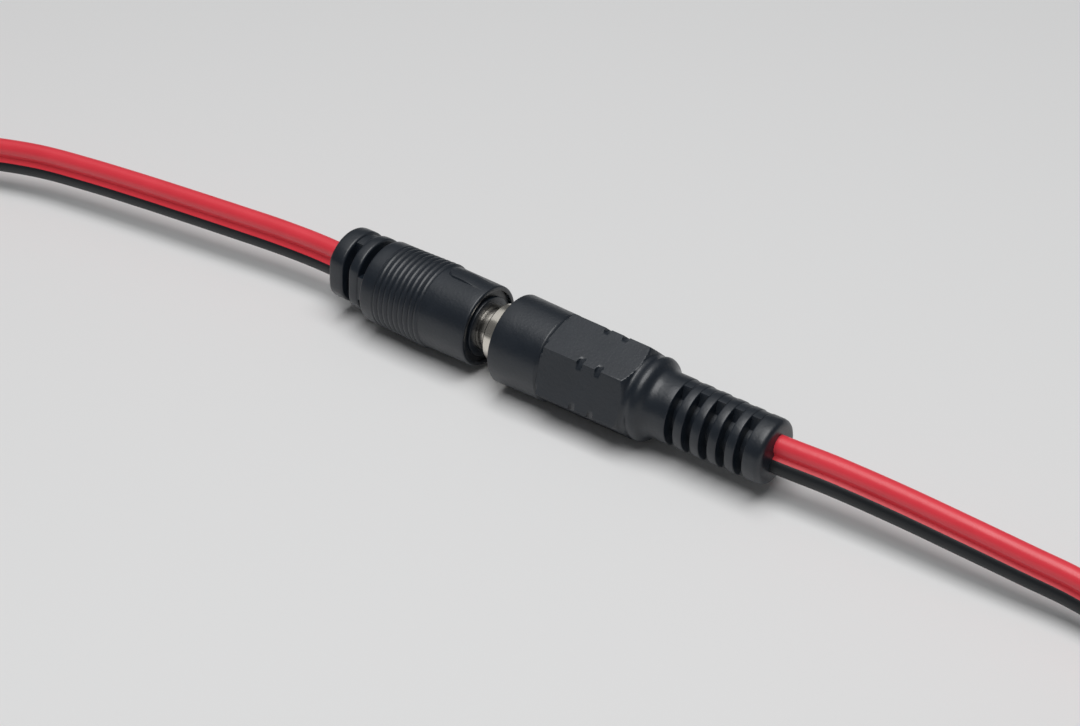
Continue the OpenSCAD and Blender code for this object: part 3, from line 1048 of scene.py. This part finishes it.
@dataclass
class TwinLead:
    """A flat red and black twin lead: out of its moulding, down to a folded hank, and split at its end.

    Attributes:
        palette: Materials of the object.
        name: Name of the piece.
        half: Body that carries it.
        prefix: Start of its CAD nodes' names.
        axis: Axis of the connectors.
        exit_x: X of the moulding's end.
        way: 1 towards +X, -1 towards -X.
        route: Distance out and offset in Y, in millimetres, and share of the way down.
        run: Length of the hank's straight runs.
        length: Length of the whole lead; not used.
        core: Radius of one core.
        fold: Radius of the hank's fold.
        tie: Thickness of the tie.
        inside: Length that lies inside the moulding.
        join: Clearance between two stretches of the lead, and below its split ends.
        split: Distance on and spread in Y, in millimetres, and share of the way down to the floor.
        red_past_valley_deg: Turn by which the red side reaches past the valley between the cores.
        swell: Growth of the moulded pair over its two cores.
    """

    palette: Palette
    name: str
    half: Half
    prefix: str
    axis: ConnectorAxis
    exit_x: float
    way: int
    route: Route
    run: float
    length: float
    core: float = 1.125 * MM
    fold: float = 9.0 * MM
    tie: float = 0.6 * MM
    inside: float = 4.0 * MM
    join: float = 0.05 * MM
    split: Route = (
        (0.05, 0, 0), (1.5, 0, 0), (4, 0.9, 0.05), (6.5, 2.1, 0.5), (9, 2.9, 0.95), (10.5, 3, 1), (12, 3, 1),
    )
    red_past_valley_deg: float = 16.0
    swell: float = 1.03

    @property
    def hank_middle(self) -> float:
        """Height of the twin lead's middle in the hank."""
        return self.tie + 2 * self.core

    @property
    def hank_x(self) -> float:
        """X of the hank's near end."""
        return self.exit_x + self.way * (self.route[-1][0] * MM + self.join)

    @property
    def hank_y(self) -> float:
        """Y of the hank's first run."""
        return self.route[-1][1] * MM

    def drop(self, share: float) -> float:
        """Return the height at a share of the way down."""
        return between(self.axis.height, self.hank_middle, share)

    def main_line(self) -> list[tuple[Vector, float]]:
        """Return points of the middle line with the stack's lean in radians, up to the split."""
        lean = math.radians(self.axis.lean_deg)
        corners = [(Vector((self.exit_x - self.way * self.inside, 0.0, self.axis.height)), lean)]
        for out, y, share in self.route:
            point = Vector((self.exit_x + self.way * out * MM, y * MM, self.drop(share)))
            corners.append((point, lean * (1 - share)))
        line = smooth_line(corners, 1.2 * MM)
        run_steps = max(2, round(self.run / (2.0 * MM)))
        start = Vector((self.hank_x, self.hank_y, self.hank_middle))
        out_dir = Vector((self.way, 0.0, 0.0))
        line += [(start + out_dir * self.run * k / run_steps, 0.0) for k in range(1, run_steps + 1)]
        centre = start + out_dir * self.run + Vector((0.0, self.fold, 0.0))
        turn_steps = 36
        for k in range(1, turn_steps + 1):
            bend = math.pi * k / turn_steps
            offset = out_dir * math.sin(bend) * self.fold - Vector((0.0, math.cos(bend) * self.fold, 0.0))
            line.append((centre + offset, 0.0))
        back = start + out_dir * self.run + Vector((0.0, 2 * self.fold, 0.0))
        line += [(back - out_dir * self.run * k / run_steps, 0.0) for k in range(1, run_steps + 1)]
        return line

    def split_line(self, spread: int) -> list[Vector]:
        """Return the middle line of one split core.

        Args:
            spread: 1 for the red core and -1 for the black one.

        Returns:
            Points from the hank to the end of the insulation.
        """
        height, floor = self.hank_middle + spread * self.core, self.core + self.join
        corners = []
        for on, y, share in self.split:
            x = self.hank_x - self.way * on * MM
            side = self.hank_y + 2 * self.fold + spread * y * MM
            corners.append((Vector((x, side, between(height, floor, share))), 0.0))
        return [point for point, _ in smooth_line(corners, 0.7 * MM)]

    def outline(self) -> tuple[list[tuple[float, float]], list[bool]]:
        """Return the figure-eight outline as (side, up) points, and which columns are red."""
        arc, valley = 24, math.radians(52.0)
        core = self.core * self.swell
        upper = [
            (math.cos(a) * core, core + math.sin(a) * core)
            for a in (-valley + (math.pi + 2 * valley) * k / arc for k in range(arc + 1))
        ]
        neck = 0.5 * core
        lower = [(-side, -up) for side, up in upper]
        points = upper + [(-neck, 0.0)] + lower + [(neck, 0.0)]
        past = round(math.radians(self.red_past_valley_deg) / ((math.pi + 2 * valley) / arc))
        red = [k <= arc + 1 + past or k >= len(points) - 1 - past for k in range(len(points))]
        return points, red

    def tube(self, line: Sequence[Vector]) -> list[list[Vector]]:
        """Return rings of a core's radius along a line."""
        rings, sides = [], 24
        turns = [2 * math.pi * s / sides for s in range(sides)]
        for k, point in enumerate(line):
            along = heading(line, k)
            side = Vector((0.0, 0.0, 1.0)).cross(along).normalized()
            up, core = along.cross(side), self.core
            rings.append([point + side * math.cos(a) * core + up * math.sin(a) * core for a in turns])
        return rings

    def pair_mesh(self, line: Sequence[tuple[Vector, float]]) -> bpy.types.Mesh:
        """Return the mesh of the moulded pair, red and black, along a line with its lean."""
        outline, red = self.outline()
        points = [point for point, _ in line]
        rings = []
        for k, (point, lean) in enumerate(line):
            along = heading(points, k)
            stack = Vector((0.0, math.sin(lean), math.cos(lean)))
            up = (stack - along * along.dot(stack)).normalized()
            side = up.cross(along)
            rings.append([point + side * s + up * u for s, u in outline])
        return ring_mesh(self.name, rings, False, lambda column: 0 if red[column] else 1, ROUNDED_DEG)

    def core_mesh(self, line: Sequence[Vector], material: int) -> bpy.types.Mesh:
        """Return the mesh of one split core, with a small bevel at its end."""
        bevel, narrow = 0.12 * MM, 0.88
        rings = self.tube(line)
        tip = line[-1] + Vector((-self.way * bevel, 0.0, 0.0))
        rings.append([tip + (point - line[-1]) * narrow for point in rings[-1]])
        return ring_mesh(self.name + "_core", rings, False, lambda column: material, ROUNDED_DEG)

    def build(self) -> bpy.types.Object:
        """Returns:
            The lead.
        """
        line = self.main_line()
        cores = [self.split_line(spread) for spread in (1, -1)]
        meshes = [self.pair_mesh(line), *(self.core_mesh(core, index) for index, core in enumerate(cores))]
        materials = [self.palette[slot] for slot in (Slot.RED_PVC, Slot.BLACK_PVC)]
        piece = new_piece(self.name, joined(self.name, meshes), materials)
        nodes = [f"{self.prefix}_{kind}_{color}" for kind in ("lead", "tail") for color in ("red", "black")]
        ride_piece(piece, self.half, Slot.RED_PVC, *nodes, self.prefix + "_hank")
        ends = [self.bare_end(color) for color in ("red", "black")]
        tie = self.build_tie()
        return piece

    def bare_end(self, color: str) -> bpy.types.Object:
        """Build the twisted, tinned strands of one split core.

        Args:
            color: Colour of the core in its CAD node's name.

        Returns:
            The bare end.
        """
        node = f"{self.prefix}_end_{color}"
        low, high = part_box(node)
        radius, length = (high.z - low.z) / 2, high.x - low.x
        middle_y, middle_z = (low.y + high.y) / 2, (low.z + high.z) / 2
        start = high.x if self.way > 0 else low.x
        strands, turns, steps, sides, tip_start = 6, 1.25, 40, 48, 0.94
        rings = []
        for share in even(steps):
            rounding = max(0.0, (share - tip_start) / 0.06)
            close = math.sqrt(max(0.0, 1 - rounding**2)) * 0.8 + 0.2
            x = start - self.way * length * share
            ring = []
            for s in range(sides):
                a = 2 * math.pi * s / sides
                lobe = abs(math.cos((a + 2 * math.pi * turns * share) * strands / 2))
                r = radius * close * (0.82 + 0.18 * math.sqrt(lobe))
                ring.append(Vector((x, middle_y + r * math.cos(a), middle_z + r * math.sin(a))))
            rings.append(ring)
        name = f"{self.prefix}_tinned_strands_{color}"
        piece = new_piece(name, ring_mesh(name, rings, sharp_deg=60.0), [self.palette[Slot.TINNED]])
        return ride_piece(piece, self.half, Slot.TINNED, node)

    def build_tie(self) -> bpy.types.Object:
        """Build the flat tie round the hank's two runs, with rounded corners and edges.

        Returns:
            The tie.
        """
        node = self.prefix + "_tie"
        low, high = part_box(node)
        middle, thick = (low + high) / 2, self.tie
        half_y, half_z, half_x = (high.y - low.y) / 2, (high.z - low.z) / 2, (high.x - low.x) / 2
        corner, arc = 1.1 * MM, 8
        loop = []
        for quarter, (sy, sz) in enumerate(((1, 1), (-1, 1), (-1, -1), (1, -1))):
            for k in range(arc + 1):
                a = math.pi / 2 * (quarter + k / arc)
                loop.append((sy * (half_y - corner), sz * (half_z - corner), math.cos(a), math.sin(a)))
        profile = (
            (-1.0, 0.75), (-1.0, 0.25), (-0.94, 0.06), (-0.85, 0.0), (0.85, 0.0), (0.94, 0.06), (1.0, 0.25),
            (1.0, 0.75), (0.94, 0.94), (0.85, 1.0), (-0.85, 1.0), (-0.94, 0.94),
        )
        rings = []
        for cy, cz, ny, nz in loop:
            rings.append([
                Vector((
                    middle.x + along * half_x,
                    middle.y + cy + ny * (corner - depth * thick),
                    middle.z + cz + nz * (corner - depth * thick),
                ))
                for along, depth in profile
            ])
        name = self.prefix + "_flat_tie"
        mesh = ring_mesh(name, rings, loop=True, sharp_deg=ROUNDED_DEG)
        piece = new_piece(name, mesh, [self.palette[Slot.TIE_BLACK]])
        return ride_piece(piece, self.half, Slot.TIE_BLACK, node)


PLUG_ROUTE: Route = (
    (0, 0, 0), (6, 0, 0), (12, -0.4, 0), (18, -1.1, 0), (26, -2.1, 0), (34, -3.1, 0.02), (42, -4.2, 0.06),
    (50, -5.6, 0.12), (57, -7.7, 0.22), (64, -10.2, 0.42), (71, -12.3, 0.68), (78, -13.6, 0.9), (85, -14, 1),
    (94, -14, 1),
)
SOCKET_ROUTE: Route = (
    (0, 0, 0), (7, 0.4, 0), (15, 0.6, 0.06), (23, 0.6, 0.15), (30, 0.7, 0.28), (35.5, 0.8, 0.4),
    (41, 0.2, 0.58), (46, -1.5, 0.8), (51, -3.6, 0.95), (56, -5, 1), (60, -5, 1),
)


# Studio


@dataclass(frozen=True)
class Studio:
    """Camera, paper and light.

    Attributes:
        camera_at: Place of the camera.
        azimuth_deg: Turn of the camera round +Z from -Y towards +X.
        elevation_deg: Height angle of the camera.
        lens: Focal length for a 36 mm sensor.
        paper: Colour of the paper.
    """

    camera_at: tuple[float, float, float] = (0.119595, -0.16138, 0.152246)
    azimuth_deg: float = 36.94
    elevation_deg: float = 36.35
    lens: float = 71.13
    paper: Color = (0.8, 0.8, 0.8)

    def build(self) -> None:
        """Make the camera, the paper, the lamps and the world."""
        self.make_camera()
        self.make_paper()
        self.make_light()
        bpy.context.scene.view_settings.view_transform = "Standard"

    def make_camera(self) -> None:
        """Put the camera where the photograph was taken from."""
        data = bpy.data.cameras.new("camera")
        data.sensor_width = 36.0
        data.lens = self.lens
        data.clip_start, data.clip_end = 0.005, 10.0
        camera = bpy.data.objects.new("camera", data)
        bpy.context.scene.collection.objects.link(camera)
        az, el = math.radians(self.azimuth_deg), math.radians(self.elevation_deg)
        back = Vector((math.cos(el) * math.sin(az), -math.cos(el) * math.cos(az), math.sin(el)))
        camera.location = self.camera_at
        camera.rotation_mode = "QUATERNION"
        camera.rotation_quaternion = (-back).to_track_quat("-Z", "Y")
        bpy.context.scene.camera = camera

    def make_paper(self) -> None:
        """Lay a wide sheet of paper under the object."""
        half = 3.0
        mesh = bpy.data.meshes.new("paper")
        corners = [(-half, -half, 0), (half, -half, 0), (half, half, 0), (-half, half, 0)]
        mesh.from_pydata(corners, [], [(0, 1, 2, 3)])
        material = bpy.data.materials.new("paper")
        material.use_nodes = True
        shader = material.node_tree.nodes["Principled BSDF"]
        shader.inputs["Roughness"].default_value = 0.85
        shader.inputs["Specular IOR Level"].default_value = 0.2
        shader.inputs["Base Color"].default_value = (*self.paper, 1.0)
        floor = new_piece("paper", mesh, [material])

    def make_light(self) -> None:
        """Light the object softly from above."""
        world = bpy.data.worlds.new("studio")
        world.use_nodes = True
        world.node_tree.nodes["Background"].inputs["Color"].default_value = (0.97, 0.985, 1.0, 1.0)
        world.node_tree.nodes["Background"].inputs["Strength"].default_value = 0.13
        bpy.context.scene.world = world
        self.add_lamp("window", (0.05, -0.087, 0.6), (0.45, 0.52), 3.32)
        self.add_lamp("sheen", (-0.45, -0.01, 0.6), (0.55, 0.37), 0.34, diffuse=False)
        self.add_lamp("sheen_far", (-0.1, 0.4, 0.6), (0.95, 0.45), 0.72, diffuse=False)

    def add_lamp(
        self, name: str, place: tuple[float, float, float], size: tuple[float, float], watts: float,
        diffuse: bool = True,
    ) -> None:
        """Add a flat soft lamp that faces down.

        Args:
            name: Name of the lamp.
            place: Where it stands.
            size: Lengths of its sides.
            watts: Its power.
            diffuse: Whether it lights matt surfaces.
        """
        data = bpy.data.lights.new(name, "AREA")
        data.shape = "RECTANGLE"
        data.size, data.size_y = size
        data.energy = watts
        lamp = bpy.data.objects.new(name, data)
        bpy.context.scene.collection.objects.link(lamp)
        lamp.location = place
        lamp.visible_diffuse = diffuse


def main() -> None:
    """Build the studio, the leads and the two connectors in order."""
    logging.basicConfig(level=logging.INFO, format="%(name)s: %(message)s")
    Studio().build()
    palette = Palette(FINISHES)
    palette.dress_frame()
    plug_axis, socket_axis = ConnectorAxis.from_frame(10.0), ConnectorAxis.from_frame(16.0)
    plug_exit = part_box("plug_overmould")[0].x
    socket_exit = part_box("jack_overmould")[1].x
    leads = (
        TwinLead(
            palette, "plug_twin_lead", Half.PLUG, "plug", plug_axis, plug_exit, -1, PLUG_ROUTE,
            34 * MM, 0.208, red_past_valley_deg=35.0,
        ),
        TwinLead(
            palette, "socket_twin_lead", Half.SOCKET, "jack", socket_axis, socket_exit, 1, SOCKET_ROUTE,
            46 * MM, 0.198,
        ),
    )
    for lead in leads:
        lead.build()
    bodies = (
        ("plug_moulding", PlugMoulding(plug_axis), Half.PLUG, Slot.BLACK_MOULD, "plug_overmould"),
        ("socket_moulding", SocketMoulding(socket_axis), Half.SOCKET, Slot.BLACK_MOULD, "jack_overmould"),
        ("plug_metal_sleeve", PlugSleeve(plug_axis), Half.PLUG, Slot.NICKEL, "plug_barrel"),
        ("socket_metal_sleeve", SocketSleeve(socket_axis), Half.SOCKET, Slot.NICKEL, "jack_sleeve"),
    )
    for name, body, half, slot, node in bodies:
        ride_piece(new_piece(name, body.build(name), [palette[slot]]), half, slot, node)


if __name__ == "__main__":
    main()
